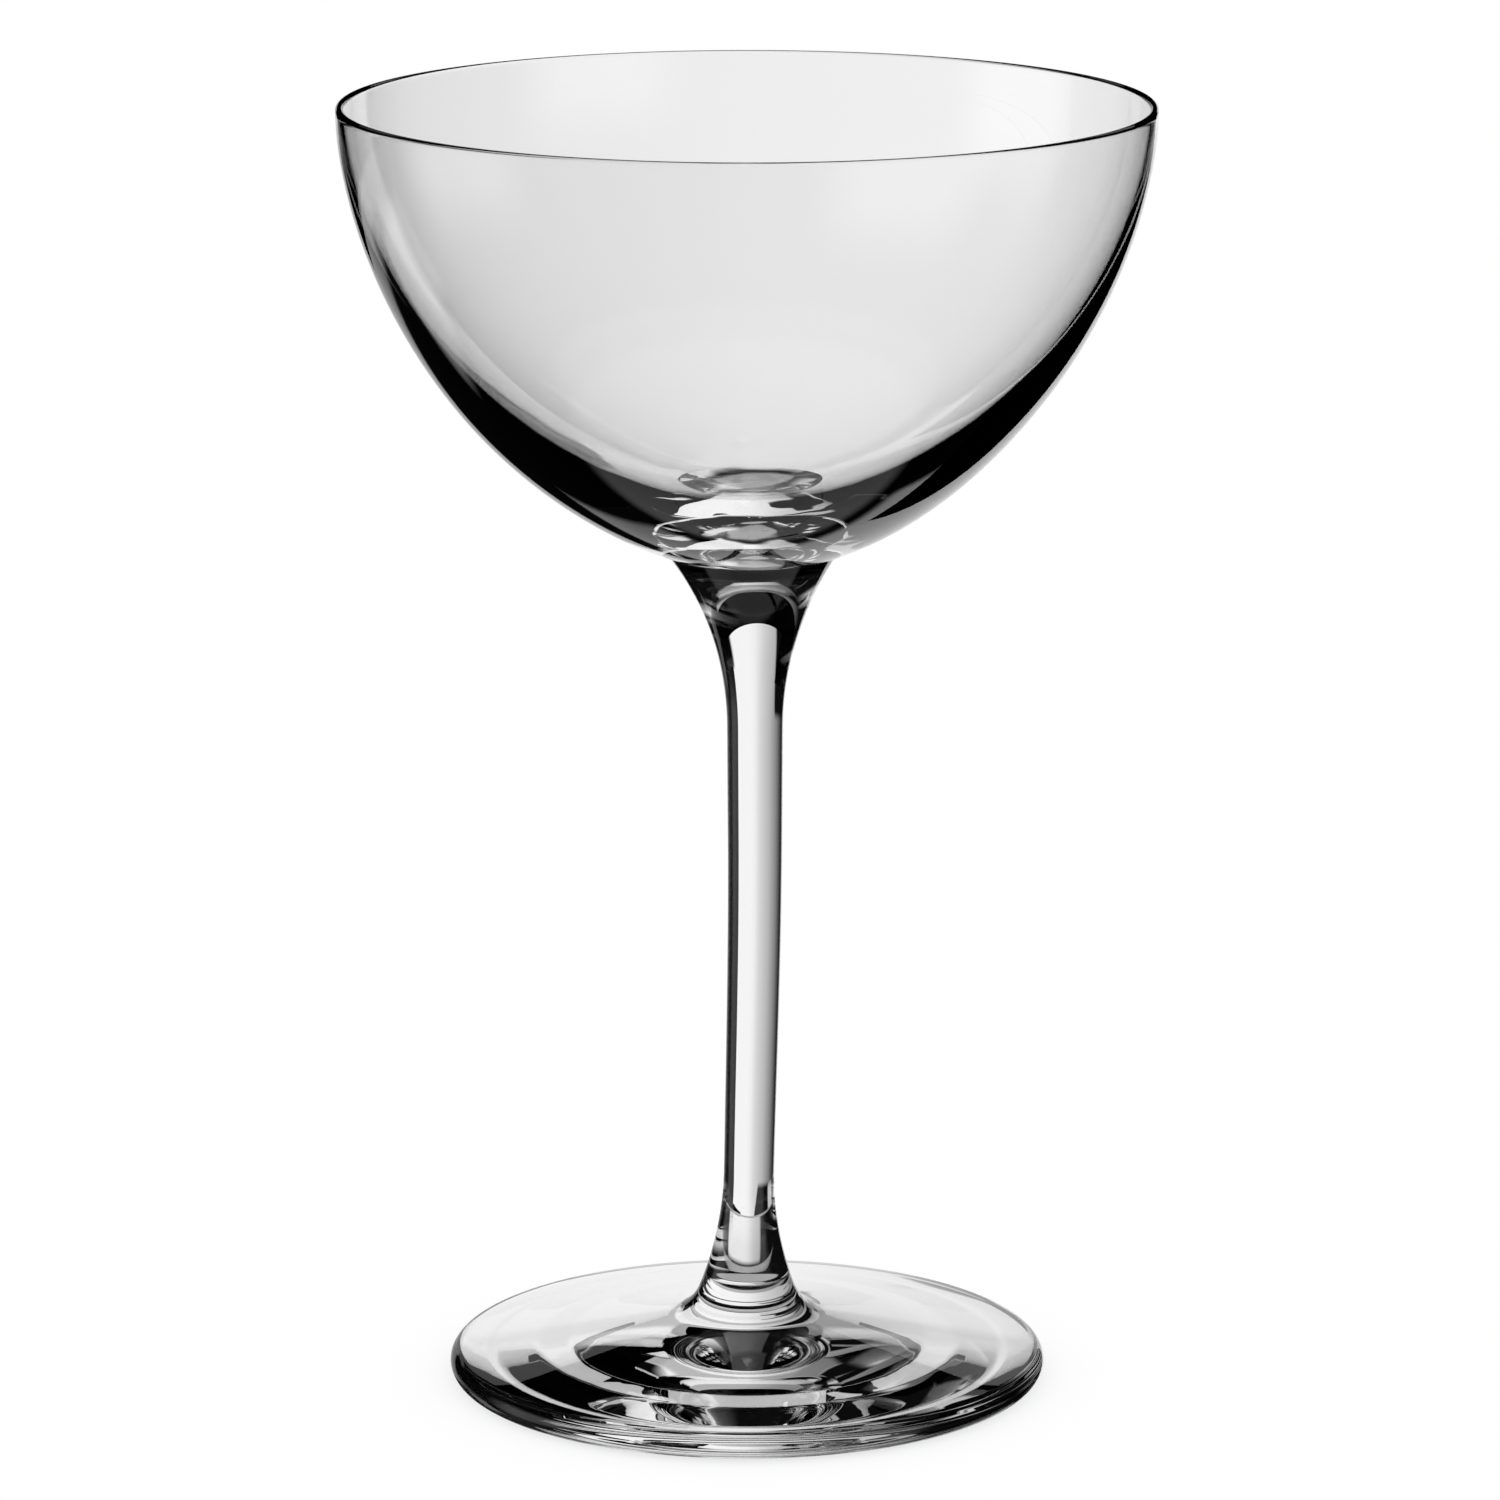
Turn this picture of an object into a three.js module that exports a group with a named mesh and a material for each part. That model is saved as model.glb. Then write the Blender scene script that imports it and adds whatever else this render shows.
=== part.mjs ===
// Coupe cocktail glass in three pieces of clear soda-lime glass: a blown bowl, a drawn solid
// stem and a pressed foot. Each weld is a flat round face, where the two pieces touch.
// Millimetres. Z is up, the glass stands on Z = 0 and its axis is the Z axis.

import * as THREE from "three";

// Facets in a full turn, and along each curve of the outlines
const ROUND_STEPS = 72;
const WALL_STEPS = 18;
const LIP_STEPS = 6;
const NECK_STEPS = 10;
const UPPER_FLARE_STEPS = 4;
const LOWER_FLARE_STEPS = 6;
const FILLET_STEPS = 8;
const EDGE_STEPS = 10;
const HOLLOW_STEPS = 8;

// Bowl: both walls are quarter superellipses that leave the lip upright
const RIM_RADIUS = 47.5;
const RIM_WALL = 0.95;
const BOWL_DEPTH = 54.44;
const OUTSIDE_FULLNESS = 1.778;
const INSIDE_FULLNESS = 1.81;
const BOWL_FLOOR = 3.6;

// Stem: a slightly tapered rod that widens into a neck under the bowl
const STEM_LENGTH = 79.8;
const CREASE_RADIUS = 9.9;
const NECK_LENGTH = 20.8;
const NECK_START_RADIUS = 3.3;

// Flare from the rod to the foot, which the weld cuts in two
const FLARE_START_RADIUS = 3.0;
const FLARE_RADIUS = 40;
const FLARE_ABOVE_WELD = 5;

// Foot: shallow cone with a rounded edge, hollow below and flat where it stands
const FOOT_WELD_HEIGHT = 20;
const FOOT_RADIUS = 35.55;
const FOOT_EDGE_RADIUS = 1.7;
const FOOT_SLOPE = THREE.MathUtils.degToRad(9.2);
const FOOT_FILLET_RADIUS = 5;
const REST_RING_WIDTH = 3;
const FOOT_HOLLOW = 1.2;

// Points along an arc in the half plane (radius, height), angles in radians from the radius axis
function arc(centreRadius, centreHeight, radius, from, to, steps) {
  const points = [];
  for (let i = 0; i <= steps; i++) {
    const angle = from + ((to - from) * i) / steps;
    points.push(
      new THREE.Vector2(
        centreRadius + radius * Math.cos(angle),
        centreHeight + radius * Math.sin(angle),
      ),
    );
  }
  return points;
}

// Points along a bowl wall: angle 0 is at the lip, a right angle is the wall's lowest point
function wall(topRadius, topHeight, depth, fullness, from, to, steps) {
  const power = 2 / fullness;
  const points = [];
  for (let i = 0; i <= steps; i++) {
    const angle = from + ((to - from) * i) / steps;
    points.push(
      new THREE.Vector2(
        topRadius * Math.cos(angle) ** power,
        topHeight - depth * Math.sin(angle) ** power,
      ),
    );
  }
  return points;
}

// A closed round body from its outline, which starts and ends on the axis
function turned(name, outline, colour) {
  const geometry = new THREE.LatheGeometry(outline, ROUND_STEPS).rotateX(Math.PI / 2);
  const material = new THREE.MeshStandardMaterial({
    color: colour,
    roughness: 0.04,
    metalness: 0,
  });
  const mesh = new THREE.Mesh(geometry, material);
  mesh.name = name;
  return mesh;
}

const onAxis = (height) => new THREE.Vector2(0, height);

// Bowl, from the weld up the outside, over the lip and down the inside to the middle of its floor
const bowlWeldHeight = FOOT_WELD_HEIGHT + STEM_LENGTH;
const creaseAngle = Math.acos((CREASE_RADIUS / RIM_RADIUS) ** (OUTSIDE_FULLNESS / 2));
const creaseDepth = BOWL_DEPTH * Math.sin(creaseAngle) ** (2 / OUTSIDE_FULLNESS);
const lipRadius = RIM_WALL / 2;
const lipHeight = bowlWeldHeight + creaseDepth;
const outside = wall(
  RIM_RADIUS,
  lipHeight,
  BOWL_DEPTH,
  OUTSIDE_FULLNESS,
  creaseAngle,
  0,
  WALL_STEPS,
);
const lip = arc(RIM_RADIUS - lipRadius, lipHeight, lipRadius, 0, Math.PI, LIP_STEPS);
const inside = wall(
  RIM_RADIUS - RIM_WALL,
  lipHeight,
  creaseDepth - BOWL_FLOOR,
  INSIDE_FULLNESS,
  0,
  Math.PI / 2,
  WALL_STEPS,
);
const bowl = turned(
  "bowl",
  [onAxis(bowlWeldHeight), ...outside, ...lip.slice(1), ...inside.slice(1)],
  0xe9eef0,
);

// The neck's arc leaves the rod upright and ends at the crease under the bowl
const neckStartHeight = bowlWeldHeight - NECK_LENGTH;
const neckSpread = CREASE_RADIUS - NECK_START_RADIUS;
const neckRadius = (NECK_LENGTH ** 2 + neckSpread ** 2) / (2 * neckSpread);
const neck = arc(
  NECK_START_RADIUS + neckRadius,
  neckStartHeight,
  neckRadius,
  Math.PI,
  Math.PI - Math.asin(NECK_LENGTH / neckRadius),
  NECK_STEPS,
);

// The flare's arc leaves the rod upright too
const flareCentre = FLARE_START_RADIUS + FLARE_RADIUS;
const flareStartHeight = FOOT_WELD_HEIGHT + FLARE_ABOVE_WELD;
const weldTurn = Math.asin(FLARE_ABOVE_WELD / FLARE_RADIUS);
const upperFlare = arc(
  flareCentre,
  flareStartHeight,
  FLARE_RADIUS,
  Math.PI + weldTurn,
  Math.PI,
  UPPER_FLARE_STEPS,
);
const stem = turned(
  "stem",
  [onAxis(FOOT_WELD_HEIGHT), ...upperFlare, ...neck, onAxis(bowlWeldHeight)],
  0xe4eaec,
);

// A fillet joins the flare to the cone: flareTurn is how far the flare turns before it starts
const edgeCentre = FOOT_RADIUS - FOOT_EDGE_RADIUS;
const slopeSine = Math.sin(FOOT_SLOPE);
const slopeCosine = Math.cos(FOOT_SLOPE);
const coneEndRadius = edgeCentre + FOOT_EDGE_RADIUS * slopeSine;
const coneEndHeight = FOOT_EDGE_RADIUS * (1 + slopeCosine);
const centreSpacing = FLARE_RADIUS - FOOT_FILLET_RADIUS;
const coneReach =
  (flareStartHeight - coneEndHeight) * slopeCosine -
  (coneEndRadius - flareCentre) * slopeSine -
  FOOT_FILLET_RADIUS;
const flareTurn = Math.asin(coneReach / centreSpacing) - FOOT_SLOPE;
const fillet = arc(
  flareCentre - centreSpacing * Math.cos(flareTurn),
  flareStartHeight - centreSpacing * Math.sin(flareTurn),
  FOOT_FILLET_RADIUS,
  1.5 * Math.PI - FOOT_SLOPE,
  Math.PI + flareTurn,
  FILLET_STEPS,
);
const lowerFlare = arc(
  flareCentre,
  flareStartHeight,
  FLARE_RADIUS,
  Math.PI + flareTurn,
  Math.PI + weldTurn,
  LOWER_FLARE_STEPS,
);

// Foot, from the middle of the hollow out to the rest ring, round the edge and up the cone
const hollowRadius = edgeCentre - REST_RING_WIDTH;
const domeRadius = (hollowRadius ** 2 + FOOT_HOLLOW ** 2) / (2 * FOOT_HOLLOW);
const dome = arc(
  0,
  FOOT_HOLLOW - domeRadius,
  domeRadius,
  Math.PI / 2,
  Math.acos(hollowRadius / domeRadius),
  HOLLOW_STEPS,
);
const edge = arc(
  edgeCentre,
  FOOT_EDGE_RADIUS,
  FOOT_EDGE_RADIUS,
  -Math.PI / 2,
  Math.PI / 2 - FOOT_SLOPE,
  EDGE_STEPS,
);
const foot = turned(
  "foot",
  [...dome, ...edge, ...fillet, ...lowerFlare.slice(1), onAxis(FOOT_WELD_HEIGHT)],
  0xdfe6e8,
);

const glass = new THREE.Group();
glass.name = "cocktail_glass";
glass.add(bowl, stem, foot);

export default glass;
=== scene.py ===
# %% [markdown]
# # A coupe cocktail glass
# The glass is clear soda-lime glass in three pieces that were joined hot: a blown bowl, a drawn solid
# stem and a pressed foot. Almost all that the eye sees is bent or mirrored light, so this lesson spends
# its care on true wall shapes, on the glass itself, and on the light and dark things that stand round
# it.
#
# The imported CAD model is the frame. It gives every height and radius that the pieces have to meet.

import math

import bpy
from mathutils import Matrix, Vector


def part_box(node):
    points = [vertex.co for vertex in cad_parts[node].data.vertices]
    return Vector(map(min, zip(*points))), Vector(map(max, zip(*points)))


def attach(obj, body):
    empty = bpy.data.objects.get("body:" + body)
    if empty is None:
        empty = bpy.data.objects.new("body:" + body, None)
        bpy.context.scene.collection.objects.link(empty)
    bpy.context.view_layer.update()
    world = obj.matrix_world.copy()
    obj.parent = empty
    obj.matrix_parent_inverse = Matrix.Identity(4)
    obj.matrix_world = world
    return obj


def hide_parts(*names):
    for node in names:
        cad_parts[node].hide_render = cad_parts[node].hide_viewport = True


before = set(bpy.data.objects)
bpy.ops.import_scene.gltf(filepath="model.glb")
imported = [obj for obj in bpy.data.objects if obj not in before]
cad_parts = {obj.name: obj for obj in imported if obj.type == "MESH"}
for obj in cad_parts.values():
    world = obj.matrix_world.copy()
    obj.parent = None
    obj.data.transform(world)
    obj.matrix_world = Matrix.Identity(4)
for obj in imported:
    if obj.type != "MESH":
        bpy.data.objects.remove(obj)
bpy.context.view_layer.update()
MM = 0.001

# %% [markdown]
# ## The camera
# The photograph looks slightly down at the glass through a long lens, so the rim and the foot are thin
# ellipses. A camera could be placed by eye, but these values come from fitting the two ellipses and the
# outline, which keeps the whole picture within a pixel or two.

# %% Camera
CAMERA_PLACE = (0.35 * MM, -847.9 * MM, 270.17 * MM)
CAMERA_TILT = math.radians(12.884)
LENS = 177.3
SENSOR = 36.0
SEEING_LIMIT = 50

scene = bpy.context.scene
camera = bpy.data.objects.new("camera", bpy.data.cameras.new("camera"))
scene.collection.objects.link(camera)
camera.location = CAMERA_PLACE
camera.rotation_euler = (math.pi / 2 - CAMERA_TILT, 0, 0)
camera.data.lens = LENS
camera.data.sensor_width = SENSOR
camera.data.clip_end = SEEING_LIMIT
scene.camera = camera
scene.view_settings.view_transform = "Standard"
print("camera looks down", round(math.degrees(CAMERA_TILT), 2), "degrees through a", LENS, "mm lens")

# %% [markdown]
# ## Two small helpers
# Colours are written as sRGB hex values, as a paint chart gives them, but shaders work on linear light,
# so one function converts them. Node trees get long, so one other function adds a node, sets it and
# links it.

# %% Colour and node helpers


def linear(hex_colour):
    """An sRGB hex colour, such as #F4F6F6, as linear red, green, blue and alpha."""
    channels = [int(hex_colour[i : i + 2], 16) / 255 for i in (1, 3, 5)]
    return [c / 12.92 if c <= 0.04045 else ((c + 0.055) / 1.055) ** 2.4 for c in channels] + [1.0]


def add(tree, kind, inputs=None, **settings):
    """A new node with these settings. An input is a value, or a socket to link from."""
    node = tree.nodes.new(kind)
    for name, value in settings.items():
        setattr(node, name, value)
    for name, value in (inputs or {}).items():
        if isinstance(value, bpy.types.NodeSocket):
            tree.links.new(value, node.inputs[name])
        else:
            node.inputs[name].default_value = value
    return node


print("white in linear light:", linear("#FFFFFF"))

# %% [markdown]
# ## Glass
# All three pieces are soda-lime glass, which bends light by an index of 1.52. What differs is how each
# surface was made. A blown bowl is fire-polished and very smooth, with broad soft waves from the breath
# and the mould. A drawn stem has fine lines along the pull. A pressed foot has the short ripple of the
# iron press. A flat clear shader would look like plastic wrap, so each glass has its own ripple, a
# slightly uneven tint and a trace of haze. Real ripples are a hundredth of a millimetre high or less,
# and here they are the same.

# %% Glass materials
GLASS_IOR = 1.52
UNEVEN_MM = 30
HAZE = 0.006
TINTS = ("#FFFFFF", "#FDFDFD")


def soda_lime(name, ripple_mm, ripple_height_mm, stretch):
    """Clear glass with ripples of that length and height, stretched by a factor along each axis."""
    material = bpy.data.materials.new(name)
    material.use_nodes = True
    tree = material.node_tree
    tree.nodes.clear()
    place = add(tree, "ShaderNodeTexCoord").outputs["Object"]
    stretched = add(tree, "ShaderNodeMapping", {"Vector": place, "Scale": [1 / s for s in stretch]})
    ripple = add(
        tree,
        "ShaderNodeTexNoise",
        {"Vector": stretched.outputs[0], "Scale": 1 / (ripple_mm * MM), "Detail": 2.0, "Roughness": 0.4},
    )
    bump = add(
        tree,
        "ShaderNodeBump",
        {"Height": ripple.outputs[0], "Strength": 1.0, "Distance": ripple_height_mm * MM},
    )
    uneven_scale = 1 / (UNEVEN_MM * MM)
    unevenness = add(tree, "ShaderNodeTexNoise", {"Vector": place, "Scale": uneven_scale, "Detail": 1.0})
    colour = add(
        tree,
        "ShaderNodeMix",
        {0: unevenness.outputs[0], 6: linear(TINTS[0]), 7: linear(TINTS[1])},
        data_type="RGBA",
    )
    rough = add(tree, "ShaderNodeMapRange", {"Value": unevenness.outputs[0], "To Min": 0.0, "To Max": HAZE})
    shader = add(
        tree,
        "ShaderNodeBsdfPrincipled",
        {
            "Base Color": colour.outputs[2],
            "Roughness": rough.outputs[0],
            "IOR": GLASS_IOR,
            "Transmission Weight": 1.0,
            "Normal": bump.outputs[0],
        },
    )
    add(tree, "ShaderNodeOutputMaterial", {"Surface": shader.outputs[0]})
    return material


# Broad slow waves: the wall of the bowl looks wet
blown_glass = soda_lime("soda_lime_glass_blown", ripple_mm=16, ripple_height_mm=0.006, stretch=(1, 1, 1))
# Lines three times as long as they are wide, along the pull: specks along the edges of the stem
drawn_glass = soda_lime("soda_lime_glass_drawn", ripple_mm=2.2, ripple_height_mm=0.002, stretch=(1, 1, 3))
# A short ripple from the press: the dark shapes in the foot get uneven edges
pressed_glass = soda_lime("soda_lime_glass_pressed", ripple_mm=7, ripple_height_mm=0.006, stretch=(1, 1, 1))
print("glass:", [m.name for m in (blown_glass, drawn_glass, pressed_glass)])

# %% [markdown]
# ## The welds
# On the real glass the pieces are fused, so light crosses a weld without noticing it. The three meshes
# are still closed, so each has a flat face at its weld. A face of glass there would mirror light inside
# the stem. A fully clear face lets the ray pass straight on, still inside glass, which is what a good
# weld does.

# %% Weld material
weld_glass = bpy.data.materials.new("soda_lime_glass_fused_weld")
weld_glass.use_nodes = True
weld_shader = weld_glass.node_tree.nodes["Principled BSDF"]
weld_shader.inputs["Base Color"].default_value = linear("#FFFFFF")
weld_shader.inputs["Alpha"].default_value = 0.0
print("weld faces let light straight through")

# %% [markdown]
# ## Turning an outline
# Each piece is a body of revolution: a maker spins it, and half of its outline says everything. A Screw
# modifier could spin the outline, but Geometry Nodes can also add what hand work leaves behind: a stem
# that isn't quite straight and surfaces that aren't quite even. One tree serves all three pieces. It
# lays a grid, sends each column of the grid round the axis by its own angle, and closes the seam and
# the poles by merging. Each outline point carries its own "play", the height in metres that the surface
# may stray there.

# %% The turning tree
LEAN_INPUTS = ("Lean", "Lean from", "Lean full", "Lean back", "Lean end")
MERGE_DISTANCE = 0.001 * MM

turning = bpy.data.node_groups.new("turn_outline", "GeometryNodeTree")
turning.is_modifier = True
sockets = {}
for socket_name, socket_type in (
    ("Outline", "NodeSocketGeometry"),
    ("Steps", "NodeSocketInt"),
    ("Ripple", "NodeSocketFloat"),
    ("Seed", "NodeSocketFloat"),
    ("Low weld", "NodeSocketFloat"),
    ("High weld", "NodeSocketFloat"),
    ("Glass", "NodeSocketMaterial"),
    ("Weld", "NodeSocketMaterial"),
) + tuple((name, "NodeSocketFloat") for name in LEAN_INPUTS):
    sockets[socket_name] = turning.interface.new_socket(
        name=socket_name, in_out="INPUT", socket_type=socket_type
    )
turning.interface.new_socket(name="Piece", in_out="OUTPUT", socket_type="NodeSocketGeometry")

given = add(turning, "NodeGroupInput").outputs
count = add(
    turning, "GeometryNodeAttributeDomainSize", {0: given["Outline"]}, component="MESH"
).outputs["Point Count"]
columns = add(turning, "ShaderNodeMath", {0: given["Steps"], 1: 1.0}, operation="ADD").outputs[0]
grid = add(turning, "GeometryNodeMeshGrid", {"Vertices X": columns, "Vertices Y": count}).outputs[0]
index = add(turning, "GeometryNodeInputIndex").outputs[0]
along = add(turning, "ShaderNodeMath", {0: index, 1: count}, operation="MODULO").outputs[0]
share = add(turning, "ShaderNodeMath", {0: index, 1: count}, operation="DIVIDE").outputs[0]
column = add(turning, "ShaderNodeMath", {0: share}, operation="FLOOR").outputs[0]
turn = add(turning, "ShaderNodeMath", {0: column, 1: given["Steps"]}, operation="DIVIDE").outputs[0]
angle = add(turning, "ShaderNodeMath", {0: turn, 1: math.tau}, operation="MULTIPLY").outputs[0]
outline_place = add(
    turning,
    "GeometryNodeSampleIndex",
    {
        "Geometry": given["Outline"],
        "Value": add(turning, "GeometryNodeInputPosition").outputs[0],
        "Index": along,
    },
    data_type="FLOAT_VECTOR",
).outputs[0]
spun = add(
    turning,
    "ShaderNodeVectorRotate",
    {"Vector": outline_place, "Angle": angle},
    rotation_type="Z_AXIS",
).outputs[0]
lathe = add(turning, "GeometryNodeSetPosition", {"Geometry": grid, "Position": spun}).outputs[0]
play_on_outline = add(
    turning, "GeometryNodeInputNamedAttribute", {"Name": "play"}, data_type="FLOAT"
).outputs[0]
play_here = add(
    turning,
    "GeometryNodeSampleIndex",
    {"Geometry": given["Outline"], "Value": play_on_outline, "Index": along},
    data_type="FLOAT",
).outputs[0]
marked = add(
    turning,
    "GeometryNodeStoreNamedAttribute",
    {"Geometry": lathe, "Name": "play", "Value": play_here},
    data_type="FLOAT",
    domain="POINT",
).outputs[0]
closed = add(
    turning, "GeometryNodeMergeByDistance", {"Geometry": marked, "Distance": MERGE_DISTANCE}
).outputs[0]
print("turning tree:", len(turning.nodes), "nodes so far, which spin and close the outline")

# %% [markdown]
# The second half of the tree is the hand work. Noise, at a length given in metres, moves each point
# along the surface's own direction by up to its play. Then the lean: the stem leaves the foot upright,
# strays to one side by less than a millimetre and comes back under the bowl. The lean depends on the
# height alone, so two pieces that meet at a weld move together and stay in touch. Last come the
# materials: glass everywhere, and the weld material on the flat faces at the two weld heights.

# %% The turning tree: hand work and materials
FLAT_LIMIT = 0.9999
WELD_TOLERANCE = 0.01 * MM

place = add(turning, "GeometryNodeInputPosition").outputs[0]
fineness = add(turning, "ShaderNodeMath", {0: 1.0, 1: given["Ripple"]}, operation="DIVIDE").outputs[0]
noise = add(
    turning,
    "ShaderNodeTexNoise",
    {"Vector": place, "W": given["Seed"], "Scale": fineness, "Detail": 1.0},
    noise_dimensions="4D",
).outputs[0]
stray = add(
    turning,
    "ShaderNodeMapRange",
    {"Value": noise, "From Min": 0.0, "From Max": 1.0, "To Min": -1.0, "To Max": 1.0},
).outputs[0]
play = add(turning, "GeometryNodeInputNamedAttribute", {"Name": "play"}, data_type="FLOAT").outputs[0]
reach = add(turning, "ShaderNodeMath", {0: stray, 1: play}, operation="MULTIPLY").outputs[0]
surface = add(turning, "GeometryNodeInputNormal").outputs[0]
push = add(turning, "ShaderNodeVectorMath", {0: surface, "Scale": reach}, operation="SCALE").outputs[0]
worked = add(turning, "GeometryNodeSetPosition", {"Geometry": closed, "Offset": push}).outputs[0]

height = add(turning, "ShaderNodeSeparateXYZ", {0: place}).outputs["Z"]
leaning = add(
    turning,
    "ShaderNodeMapRange",
    {"Value": height, "From Min": given["Lean from"], "From Max": given["Lean full"]},
    interpolation_type="SMOOTHSTEP",
).outputs[0]
returning = add(
    turning,
    "ShaderNodeMapRange",
    {
        "Value": height,
        "From Min": given["Lean back"],
        "From Max": given["Lean end"],
        "To Min": given["Lean"],
        "To Max": 0.0,
    },
    interpolation_type="SMOOTHSTEP",
).outputs[0]
lean = add(turning, "ShaderNodeMath", {0: leaning, 1: returning}, operation="MULTIPLY").outputs[0]
sideways = add(turning, "ShaderNodeCombineXYZ", {"X": lean}).outputs[0]
leant = add(turning, "GeometryNodeSetPosition", {"Geometry": worked, "Offset": sideways}).outputs[0]
bare = add(turning, "GeometryNodeRemoveAttribute", {"Geometry": leant, "Name": "play"}).outputs[0]
smooth = add(turning, "GeometryNodeSetShadeSmooth", {"Geometry": bare}).outputs[0]

upright = add(turning, "ShaderNodeSeparateXYZ", {0: surface}).outputs["Z"]
flatness = add(turning, "ShaderNodeMath", {0: upright}, operation="ABSOLUTE").outputs[0]
is_flat = add(turning, "ShaderNodeMath", {0: flatness, 1: FLAT_LIMIT}, operation="GREATER_THAN").outputs[0]
at_weld = []
for weld_name in ("Low weld", "High weld"):
    off = add(turning, "ShaderNodeMath", {0: height, 1: given[weld_name]}, operation="SUBTRACT").outputs[0]
    gap = add(turning, "ShaderNodeMath", {0: off}, operation="ABSOLUTE").outputs[0]
    near = add(turning, "ShaderNodeMath", {0: gap, 1: WELD_TOLERANCE}, operation="LESS_THAN").outputs[0]
    at_weld.append(near)
either = add(turning, "ShaderNodeMath", {0: at_weld[0], 1: at_weld[1]}, operation="MAXIMUM").outputs[0]
is_weld = add(turning, "ShaderNodeMath", {0: is_flat, 1: either}, operation="MULTIPLY").outputs[0]
realized = add(turning, "GeometryNodeRealizeInstances", {"Geometry": smooth}).outputs[0]
glassy = add(
    turning, "GeometryNodeSetMaterial", {"Geometry": realized, "Material": given["Glass"]}
).outputs[0]
welded = add(
    turning,
    "GeometryNodeSetMaterial",
    {"Geometry": glassy, "Selection": is_weld, "Material": given["Weld"]},
).outputs[0]
add(turning, "NodeGroupOutput", {"Piece": welded})
print("turning tree:", len(turning.nodes), "nodes")

# %% [markdown]
# ## From outline to finished piece
# The outline is a chain of points in the plane of X and Z. One function turns it, makes a plain mesh of
# the result, marks the sharp edges round the weld faces, and hides the CAD node that the piece stands
# for.

# %% Turn and finish
ROUND_STEPS = 256
WELD_HEIGHTS = (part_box("stem")[0][2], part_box("stem")[1][2])
SHARP_ANGLE = math.radians(20)
# The stem's lean, in millimetres: how far, and the heights between which it goes out and comes back
LEAN = 0.95
LEAN_OUT = (5, 65)
LEAN_BACK = (88, 118)


def turned_piece(name, node, outline, play, glass, ripple, seed):
    """Makes a closed glass piece from its outline and play in millimetres, in the place of a CAD node."""
    chain = bpy.data.meshes.new(name + "_outline")
    chain.from_pydata(
        [(radius * MM, 0, height * MM) for radius, height in outline],
        [(i, i + 1) for i in range(len(outline) - 1)],
        [],
    )
    chain.attributes.new("play", "FLOAT", "POINT").data.foreach_set("value", [p * MM for p in play])
    spindle = bpy.data.objects.new(name + "_outline", chain)
    scene.collection.objects.link(spindle)
    modifier = spindle.modifiers.new("turn", "NODES")
    modifier.node_group = turning
    lean_values = [LEAN * MM] + [h * MM for h in LEAN_OUT + LEAN_BACK]
    values = {
        "Steps": ROUND_STEPS,
        "Ripple": ripple * MM,
        "Seed": float(seed),
        "Low weld": WELD_HEIGHTS[0],
        "High weld": WELD_HEIGHTS[1],
        "Glass": glass,
        "Weld": weld_glass,
    }
    values.update(zip(LEAN_INPUTS, lean_values))
    for socket_name, value in values.items():
        modifier[sockets[socket_name].identifier] = value
    depsgraph = bpy.context.evaluated_depsgraph_get()
    mesh = bpy.data.meshes.new_from_object(spindle.evaluated_get(depsgraph), depsgraph=depsgraph)
    mesh.name = name
    mesh.set_sharp_from_angle(angle=SHARP_ANGLE)
    bpy.data.objects.remove(spindle)
    piece = bpy.data.objects.new(name, mesh)
    scene.collection.objects.link(piece)
    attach(piece, "root")
    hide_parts(node)
    print(name, len(mesh.vertices), "points,", sum(len(f.vertices) - 2 for f in mesh.polygons), "triangles")


# %% [markdown]
# ## Curves that outlines are made of
# A bowl blown in a mould is neither a sphere nor a cone. A superellipse fits it: a quarter ellipse
# whose power says how full it is. Everything that a tool or a flame rounded is an arc.

# %% Arcs and walls


def arc(centre_radius, centre_height, radius, start, end, steps):
    """Points along an arc, angles in radians from the radius axis."""
    angles = [start + (end - start) * i / steps for i in range(steps + 1)]
    return [(centre_radius + radius * math.cos(a), centre_height + radius * math.sin(a)) for a in angles]


def wall(top_radius, top_height, depth, fullness, start, end, steps):
    """Points along a bowl wall: angle 0 is at the lip, a right angle is the wall's lowest point."""
    power = 2 / fullness
    angles = [start + (end - start) * i / steps for i in range(steps + 1)]
    return [
        (top_radius * max(math.cos(a), 0) ** power, top_height - depth * math.sin(a) ** power)
        for a in angles
    ]


print("a quarter arc of 10 mm ends at", [round(c, 3) for c in arc(0, 0, 10, 0, math.pi / 2, 4)[-1]])

# %% [markdown]
# ## The bowl
# A gather of glass is blown into a mould, cracked off, and its lip is melted round. The wall is under a
# millimetre at the rim and thickens towards the floor, because the glass runs down while it is hot.
# That thickening is what draws the black bands along the lower sides: the two walls form a prism there.
# The floor sets last and is never quite even, which breaks up the rings that the neck would show in it.

# %% Bowl
RIM_WALL = 0.95
BOWL_DEPTH = 54.44
OUTSIDE_FULLNESS = 1.778
INSIDE_FULLNESS = 1.81
BOWL_FLOOR = 3.6
WALL_STEPS = 110
LIP_STEPS = 16
FLOOR_PLAY = 0.2
FLOOR_PLAY_POWER = 6

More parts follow.
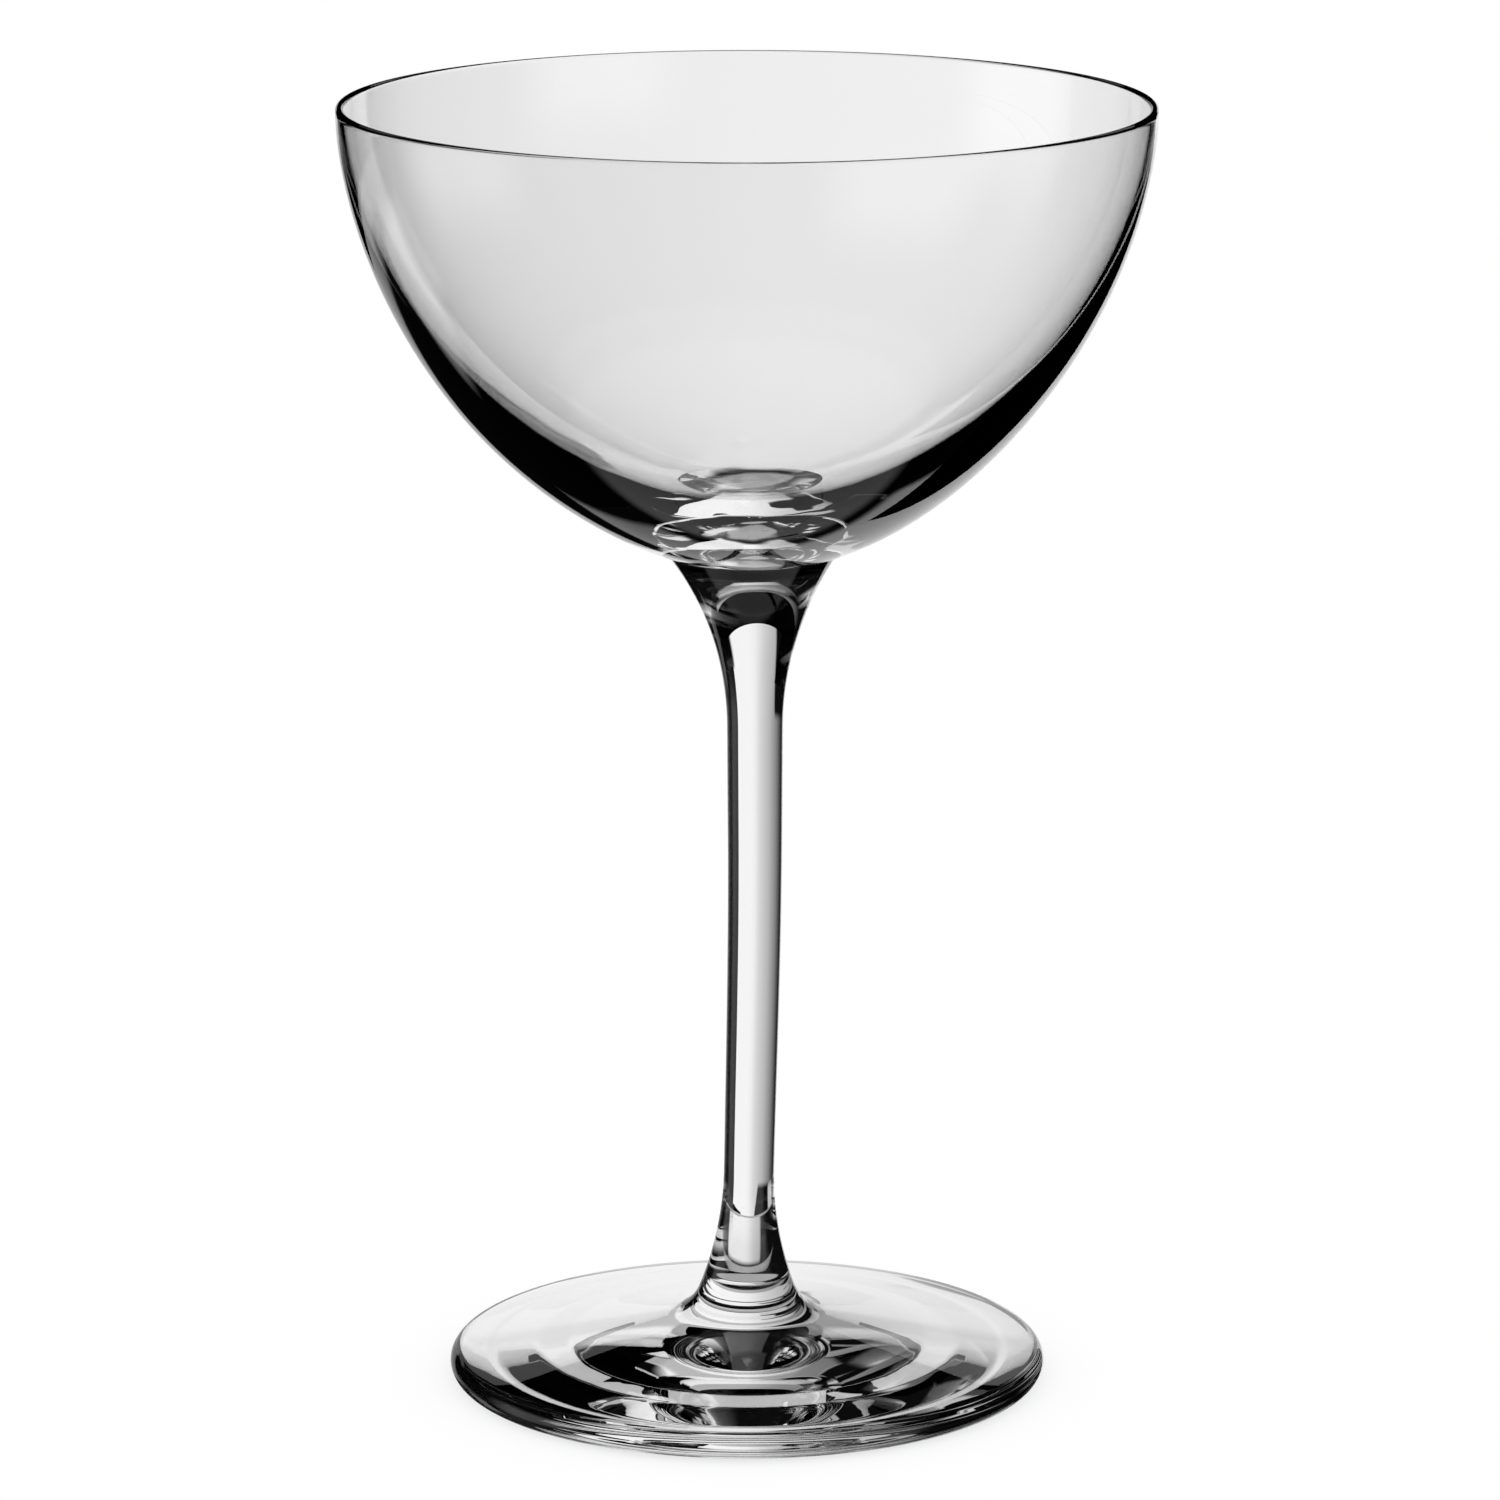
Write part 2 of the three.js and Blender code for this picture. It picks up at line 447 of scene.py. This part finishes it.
rim_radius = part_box("bowl")[1][0] / MM
crease_height = WELD_HEIGHTS[1] / MM
lip_radius = RIM_WALL / 2
lip_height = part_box("bowl")[1][2] / MM - lip_radius
crease_depth = lip_height - crease_height
crease_angle = math.asin((crease_depth / BOWL_DEPTH) ** (OUTSIDE_FULLNESS / 2))
crease_radius = rim_radius * math.cos(crease_angle) ** (2 / OUTSIDE_FULLNESS)
outside = wall(rim_radius, lip_height, BOWL_DEPTH, OUTSIDE_FULLNESS, crease_angle, 0, WALL_STEPS)
lip = arc(rim_radius - lip_radius, lip_height, lip_radius, 0, math.pi, LIP_STEPS)
inside = wall(
    rim_radius - RIM_WALL,
    lip_height,
    crease_depth - BOWL_FLOOR,
    INSIDE_FULLNESS,
    0,
    math.pi / 2,
    WALL_STEPS,
)
bowl_outline = [(0, crease_height)] + outside + lip[1:] + inside[1:]
bowl_play = [0] * (1 + len(outside) + len(lip) - 1)
bowl_play += [FLOOR_PLAY * (i / len(inside)) ** FLOOR_PLAY_POWER for i in range(1, len(inside))]
turned_piece("bowl", "bowl", bowl_outline, bowl_play, blown_glass, ripple=5, seed=1)
print("crease radius", round(crease_radius, 3), "mm")

# %% [markdown]
# ## The stem
# A punty draws a hot rod of glass out of the bottom of the bowl. It tapers slightly, flows into a neck
# under the bowl and flares at its lower end, where it is set on the foot. Solid glass in a rod shape is
# a strong lens: it turns the whole backdrop into a bright core between two black edges.

# %% Stem
NECK_LENGTH = 20.8
NECK_START_RADIUS = 3.3
FLARE_START_RADIUS = 3.0
FLARE_RADIUS = 40
FLARE_ABOVE_WELD = 5
NECK_STEPS = 40
ROD_STEPS = 60
FLARE_STEPS = 24
STEM_PLAY = 0.004

foot_weld_height = WELD_HEIGHTS[0] / MM
neck_spread = crease_radius - NECK_START_RADIUS
neck_radius = (NECK_LENGTH**2 + neck_spread**2) / (2 * neck_spread)
neck_start_height = crease_height - NECK_LENGTH
neck = arc(
    NECK_START_RADIUS + neck_radius,
    neck_start_height,
    neck_radius,
    math.pi,
    math.pi - math.asin(NECK_LENGTH / neck_radius),
    NECK_STEPS,
)
flare_centre = FLARE_START_RADIUS + FLARE_RADIUS
flare_start_height = foot_weld_height + FLARE_ABOVE_WELD
weld_turn = math.asin(FLARE_ABOVE_WELD / FLARE_RADIUS)
upper_flare = arc(
    flare_centre, flare_start_height, FLARE_RADIUS, math.pi + weld_turn, math.pi, FLARE_STEPS // 2
)
rod = [
    (
        FLARE_START_RADIUS + (NECK_START_RADIUS - FLARE_START_RADIUS) * i / ROD_STEPS,
        flare_start_height + (neck_start_height - flare_start_height) * i / ROD_STEPS,
    )
    for i in range(1, ROD_STEPS)
]
stem_outline = [(0, foot_weld_height)] + upper_flare + rod + neck + [(0, crease_height)]
stem_play = [0, 0] + [STEM_PLAY] * (len(stem_outline) - 4) + [0, 0]
turned_piece("stem", "stem", stem_outline, stem_play, drawn_glass, ripple=6, seed=2)

# %% [markdown]
# ## The foot
# The foot is pressed while soft: a shallow cone on top, a short stub that flares up to the stem, a
# rounded edge, and a hollow below so that it stands on a ring. The top is three arcs and a straight
# line that touch without a corner: the flare goes on from the stem, a fillet turns it into the cone,
# and the edge rounds the cone off.

# %% Foot: top and edge
FOOT_EDGE_RADIUS = 1.7
FOOT_SLOPE = math.radians(9.2)
FOOT_FILLET_RADIUS = 5
EDGE_STEPS = 40
CONE_STEPS = 16
FILLET_STEPS = 30

foot_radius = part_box("foot")[1][0] / MM
edge_centre = foot_radius - FOOT_EDGE_RADIUS
cone_end_radius = edge_centre + FOOT_EDGE_RADIUS * math.sin(FOOT_SLOPE)
cone_end_height = FOOT_EDGE_RADIUS * (1 + math.cos(FOOT_SLOPE))
centre_spacing = FLARE_RADIUS - FOOT_FILLET_RADIUS
cone_reach = (flare_start_height - cone_end_height) * math.cos(FOOT_SLOPE)
cone_reach -= (cone_end_radius - flare_centre) * math.sin(FOOT_SLOPE) + FOOT_FILLET_RADIUS
flare_turn = math.asin(cone_reach / centre_spacing) - FOOT_SLOPE
fillet = arc(
    flare_centre - centre_spacing * math.cos(flare_turn),
    flare_start_height - centre_spacing * math.sin(flare_turn),
    FOOT_FILLET_RADIUS,
    1.5 * math.pi - FOOT_SLOPE,
    math.pi + flare_turn,
    FILLET_STEPS,
)
lower_flare = arc(
    flare_centre, flare_start_height, FLARE_RADIUS, math.pi + flare_turn, math.pi + weld_turn, FLARE_STEPS
)
edge = arc(
    edge_centre, FOOT_EDGE_RADIUS, FOOT_EDGE_RADIUS, -math.pi / 2, math.pi / 2 - FOOT_SLOPE, EDGE_STEPS
)
cone = [
    (
        edge[-1][0] + (fillet[0][0] - edge[-1][0]) * i / CONE_STEPS,
        edge[-1][1] + (fillet[0][1] - edge[-1][1]) * i / CONE_STEPS,
    )
    for i in range(1, CONE_STEPS)
]
foot_top = edge + cone + fillet + lower_flare[1:] + [(0, foot_weld_height)]
print("foot radius", round(foot_radius, 2), "mm, cone from", [round(c, 2) for c in fillet[0]])

# %% [markdown]
# ### The underside
# From above, the underside is a mirror. Where it is nearly level it mirrors everything and shows the
# dark side of the room; where it is a little steeper it lets light through from below. So the black and
# white rings round the stub tell how the press shaped it: a gentle dome in the middle, a narrow step,
# an almost level shelf and a short rise from the ring that the glass stands on. A plain dome would show
# one wide black ring. The hollow is given by its slope at a few radii, and adding up the slopes from
# the ring inwards gives its height.

# %% Foot: underside
REST_RING_WIDTH = 3
HOLLOW_STEPS = 120
HOLLOW_PLAY = 0.012
PLAY_FADE_STEPS = 8
# Radius in millimetres and the slope there: the dome, the step, the shelf and the rise
HOLLOW_SLOPES = (
    (0, 0),
    (20.5, 0.05),
    (21.2, 0.08),
    (24, 0.08),
    (25, 0.03),
    (29.4, 0.02),
    (30.2, 0.09),
    (31, 0.09),
)


def hollow_slope(radius):
    """The slope of the underside at this radius, between the two nearest of the given places."""
    for (start, low), (end, high) in zip(HOLLOW_SLOPES, HOLLOW_SLOPES[1:]):
        if start <= radius <= end:
            return low + (high - low) * (radius - start) / (end - start)
    return HOLLOW_SLOPES[-1][1]


hollow_radius = edge_centre - REST_RING_WIDTH
step = hollow_radius / HOLLOW_STEPS
hollow = [(hollow_radius, 0)]
for i in range(HOLLOW_STEPS, 0, -1):
    rise = hollow_slope((i - 0.5) * step) * step
    hollow.insert(0, ((i - 1) * step, hollow[0][1] + rise))
foot_outline = hollow + foot_top
foot_play = [HOLLOW_PLAY * min(1, (HOLLOW_STEPS - i) / PLAY_FADE_STEPS) for i in range(len(hollow))]
foot_play += [0] * len(foot_top)
turned_piece("foot", "foot", foot_outline, foot_play, pressed_glass, ripple=9, seed=3)
print("the hollow is", round(hollow[0][1], 3), "mm deep")

# %% [markdown]
# ## The table
# The glass stands on a white table. The camera sees it as plain white with a faint painted shadow where
# the foot comes close: Ambient Occlusion, measured from the foot itself, darkens the table's glowing
# colour there. The glass doesn't look at this plane: what it sees below is part of the room, in the next
# step.

# %% Table
TABLE_WIDTH = 4.0
TABLE_DROP = 0.1 * MM
CONTACT_REACH = 14 * MM

table_mesh = bpy.data.meshes.new("table")
half = TABLE_WIDTH / 2
table_mesh.from_pydata(
    [(x * half, y * half, -TABLE_DROP) for x, y in ((-1, -1), (1, -1), (1, 1), (-1, 1))],
    [],
    [(0, 1, 2, 3)],
)
table = bpy.data.objects.new("table", table_mesh)
scene.collection.objects.link(table)
table_paint = bpy.data.materials.new("white_table_with_painted_shadow")
table_paint.use_nodes = True
tree = table_paint.node_tree
tree.nodes.clear()
# Painted shadow: Ambient Occlusion from the foot darkens the table's emitted white towards #E4E5E5 near the
# glass.
painted_contact_shadow = add(tree, "ShaderNodeAmbientOcclusion", {"Distance": CONTACT_REACH}, samples=8)
shade = add(
    tree,
    "ShaderNodeMix",
    {0: painted_contact_shadow.outputs["AO"], 6: linear("#E4E5E5"), 7: linear("#FFFFFF")},
    data_type="RGBA",
)
glow = add(tree, "ShaderNodeEmission", {"Color": shade.outputs[2], "Strength": 1.0})
add(tree, "ShaderNodeOutputMaterial", {"Surface": glow.outputs[0]})
table_mesh.materials.append(table_paint)
for seen_by in ("glossy", "transmission", "diffuse", "shadow", "volume_scatter"):
    setattr(table, "visible_" + seen_by, False)
print("table", TABLE_WIDTH, "m wide")

# %% [markdown]
# ## The room that the glass sees
# Clear glass shows its surroundings and nothing else. The photograph was taken in the usual way for
# glass: a bright backdrop behind it, darker on the left, and black on both sides, which draws the black
# edges. A sky texture or a plain white world would make the glass vanish. The world here is a round
# studio: directions are given as an azimuth, 0 behind the glass and positive to the right, and an
# elevation, both in degrees. Three small functions describe it: a fade, a way to combine fades, and a
# panel with soft edges.

# %% World: directions and soft edges
scene.world = bpy.data.worlds.new("studio")
scene.world.use_nodes = True
tree = scene.world.node_tree
tree.nodes.clear()
direction = add(tree, "ShaderNodeTexCoord").outputs["Generated"]
parts = add(tree, "ShaderNodeSeparateXYZ", {0: direction})
azimuth_turn = add(
    tree, "ShaderNodeMath", {0: parts.outputs["X"], 1: parts.outputs["Y"]}, operation="ARCTAN2"
).outputs[0]
azimuth = add(tree, "ShaderNodeMath", {0: azimuth_turn}, operation="DEGREES").outputs[0]
elevation_turn = add(tree, "ShaderNodeMath", {0: parts.outputs["Z"]}, operation="ARCSINE").outputs[0]
elevation = add(tree, "ShaderNodeMath", {0: elevation_turn}, operation="DEGREES").outputs[0]


def fade(value, start, end, low=0.0, high=1.0):
    """Goes smoothly from low to high while the value goes from start to end, up or down."""
    if start > end:
        start, end, low, high = end, start, high, low
    return add(
        tree,
        "ShaderNodeMapRange",
        {"Value": value, "From Min": start, "From Max": end, "To Min": low, "To Max": high},
        interpolation_type="SMOOTHSTEP",
    ).outputs[0]


def combine(operation, *values):
    """All of the values multiplied, or the largest of them, by one Math node after another."""
    total = values[0]
    for value in values[1:]:
        total = add(tree, "ShaderNodeMath", {0: total, 1: value}, operation=operation).outputs[0]
    return total


def panel(left, right, bottom, top, softness, brightness):
    """A soft-edged bright panel between two azimuths and two elevations."""
    return combine(
        "MULTIPLY",
        fade(azimuth, left - softness, left + softness),
        fade(azimuth, right + softness, right - softness),
        fade(elevation, bottom - softness, bottom + softness),
        fade(elevation, top + softness, top - softness, high=brightness),
    )


print("a direction has an azimuth and an elevation, by", len(tree.nodes), "nodes")

# %% [markdown]
# ### The backdrop
# It is white to the right of the middle and greyer step by step to the left, which gives the stem its
# grey right half: a rod of glass shows the backdrop the other way round. Above 15 degrees it is half as
# bright. Then come the dark gaps, the places where no lit cloth hangs. Each is where one black shape of
# the glass looks: three of them blacken the shapes on both sides of the stub, and the low and the
# slanting one blacken the broad left band of the bowl. Two of them have sloping edges, measured by an
# azimuth and an elevation added together, one of them times a number that sets the slope: the left one,
# so that the black edge of the neck tapers off, and the slanting one.

# %% World: backdrop
SLANT = 1.13
TAPER = -0.6
BACKDROP_GREYS = (
    (-62, "#161616"),
    (-50, "#5A5A5A"),
    (-38, "#8E8E8E"),
    (-25, "#B2B2B2"),
    (-16, "#C4C4C4"),
    (-9, "#D6D6D6"),
    (0, "#F8F8F8"),
    (6, "#FFFFFF"),
)
ramp_start = BACKDROP_GREYS[0][0]
ramp_end = BACKDROP_GREYS[-1][0]
ramp_place = add(
    tree, "ShaderNodeMapRange", {"Value": azimuth, "From Min": ramp_start, "From Max": ramp_end}
).outputs[0]
ramp = add(tree, "ShaderNodeValToRGB", {0: ramp_place})
stops = ramp.color_ramp.elements
while len(stops) < len(BACKDROP_GREYS):
    stops.new(0.5)
for stop, (stop_azimuth, grey) in zip(stops, BACKDROP_GREYS):
    stop.position = (stop_azimuth - ramp_start) / (ramp_end - ramp_start)
    stop.color = linear(grey)
backdrop_grey = add(tree, "ShaderNodeSeparateColor", {0: ramp.outputs[0]}).outputs[0]
# The two numbers of each fade are the degrees where a gap starts and where it is fully dark
right_gap = combine("MULTIPLY", fade(azimuth, 24, 28), fade(elevation, 2, 4), fade(elevation, 16, 14.5))
taper = add(
    tree, "ShaderNodeMath", {0: elevation, 1: TAPER, 2: azimuth}, operation="MULTIPLY_ADD"
).outputs[0]
left_gap = combine("MULTIPLY", fade(taper, -26, -29), fade(elevation, -11, -8), fade(elevation, 16, 14.5))
high_gap = combine("MULTIPLY", fade(azimuth, -27, -30), fade(elevation, 12, 14), fade(elevation, 24, 22))
low_gap = combine("MULTIPLY", fade(azimuth, -18, -22), fade(elevation, -18, -20))
slant = add(
    tree, "ShaderNodeMath", {0: azimuth, 1: SLANT, 2: elevation}, operation="MULTIPLY_ADD"
).outputs[0]
slant_gap = combine("MULTIPLY", fade(slant, -35.5, -37.5), fade(azimuth, -5, -6))
slant_gap = combine("MULTIPLY", slant_gap, fade(elevation, -18, -20), fade(elevation, -36, -34))
gaps = combine("MAXIMUM", right_gap, left_gap, high_gap, low_gap, slant_gap)
lit = add(tree, "ShaderNodeMath", {0: 1.0, 1: gaps}, operation="SUBTRACT").outputs[0]
above_rim = fade(elevation, 14, 17, low=1.0, high=0.5)
cloth = panel(left=ramp_start, right=35, bottom=-51, top=31, softness=2, brightness=1.0)
backdrop = combine("MULTIPLY", backdrop_grey, cloth, lit, above_rim)
print("backdrop:", len(BACKDROP_GREYS), "greys from", ramp_start, "to", ramp_end, "degrees and 5 gaps")

# %% [markdown]
# ### The other panels
# Two bright panels and a smaller one low on the left stand where the photograph doesn't look, so that
# the glass is as clear from its other sides. A dim one lies under everything, for a look from high
# above. The rest of the room is almost black. The camera itself sees plain white.

# %% World: panels
DARK_ROOM = 0.004

side_panel = panel(left=-110, right=-72, bottom=-24, top=18, softness=10, brightness=0.85)
back_panel = panel(left=114, right=156, bottom=-32, top=12, softness=12, brightness=0.85)
left_low_panel = panel(left=-57, right=-40, bottom=-34, top=-19, softness=2, brightness=0.62)
under_panel = fade(elevation, -54, -58, high=0.4)
room = combine("MAXIMUM", backdrop, side_panel, back_panel, left_low_panel, under_panel, DARK_ROOM)
light_path = add(tree, "ShaderNodeLightPath")
seen = add(
    tree,
    "ShaderNodeMix",
    {0: light_path.outputs["Is Camera Ray"], 6: room, 7: linear("#FFFFFF")},
    data_type="RGBA",
).outputs[2]
background = add(tree, "ShaderNodeBackground", {"Color": seen, "Strength": 1.0})
add(tree, "ShaderNodeOutputWorld", {"Surface": background.outputs[0]})
print("world:", len(tree.nodes), "nodes")

# %% [markdown]
# ## Black cards
# Photographers stand black cards close to a glass, just outside the picture, to draw a firm dark line
# down its sides. They are nearer than the backdrop, so each darkens one part of the glass and leaves
# the others bright. Three large ones stand round the bowl. The three small ones are painted shade: dark
# sheets lower than the table top, which the glass looks through, stand in for the shaded table near the
# foot. One darkens the left side of the flare, and two the tops of the black shapes beside the stub. The
# camera doesn't see them.

# %% Black cards
CARD_TOP = 172

# Black card material. On the three low sheets it is painted shade, standing in for the shaded table near
# the foot.
card_paint = bpy.data.materials.new("black_velvet_card_and_painted_shade")
card_paint.use_nodes = True
card_shader = card_paint.node_tree.nodes["Principled BSDF"]
card_shader.inputs["Base Color"].default_value = linear("#060606")
card_shader.inputs["Specular IOR Level"].default_value = 0.0
card_shader.inputs["Roughness"].default_value = 1.0


def card(name, left, right, bottom, top):
    """An upright black card between two places on the floor, all sizes in millimetres."""
    mesh = bpy.data.meshes.new(name)
    corners = [(left, bottom), (right, bottom), (right, top), (left, top)]
    mesh.from_pydata([(x * MM, y * MM, z * MM) for (x, y), z in corners], [], [(0, 1, 2, 3)])
    mesh.materials.append(card_paint)
    sheet = bpy.data.objects.new(name, mesh)
    scene.collection.objects.link(sheet)
    for seen_by in ("camera", "shadow", "diffuse"):
        setattr(sheet, "visible_" + seen_by, False)
    return sheet


cards = [
    card("left_card", left=(-450, 200), right=(-100, 200), bottom=80, top=CARD_TOP),
    card("right_card", left=(105, 200), right=(450, 200), bottom=-150, top=CARD_TOP),
    card("top_card", left=(-700, 320), right=(700, 320), bottom=CARD_TOP, top=290),
    # Painted shade: these three dark sheets below the table top stand in for the shaded table near the
    # foot.
    card("flare_painted_shade_card", left=(10, -45), right=(90, -45), bottom=-36, top=-19),
    card("left_low_painted_shade_card", left=(-22, 45), right=(-9, 45), bottom=-5.2, top=-1.8),
    card("right_low_painted_shade_card", left=(9, 45), right=(22, 45), bottom=-5.2, top=-1.8),
]
print("cards:", [c.name for c in cards])

# %% [markdown]
# ## Finish
# Light passes a dozen or more glass surfaces in the foot and the neck, so the ray limits are raised.
# Mirroring has a lower limit: light that runs round inside the wall of the bowl is spent, and its side
# bands stay black.

# %% Ray limits
RAY_LIMIT = 32
MIRROR_LIMIT = 10

for limit in ("max_bounces", "transmission_bounces", "transparent_max_bounces"):
    setattr(scene.cycles, limit, RAY_LIMIT)
scene.cycles.glossy_bounces = MIRROR_LIMIT
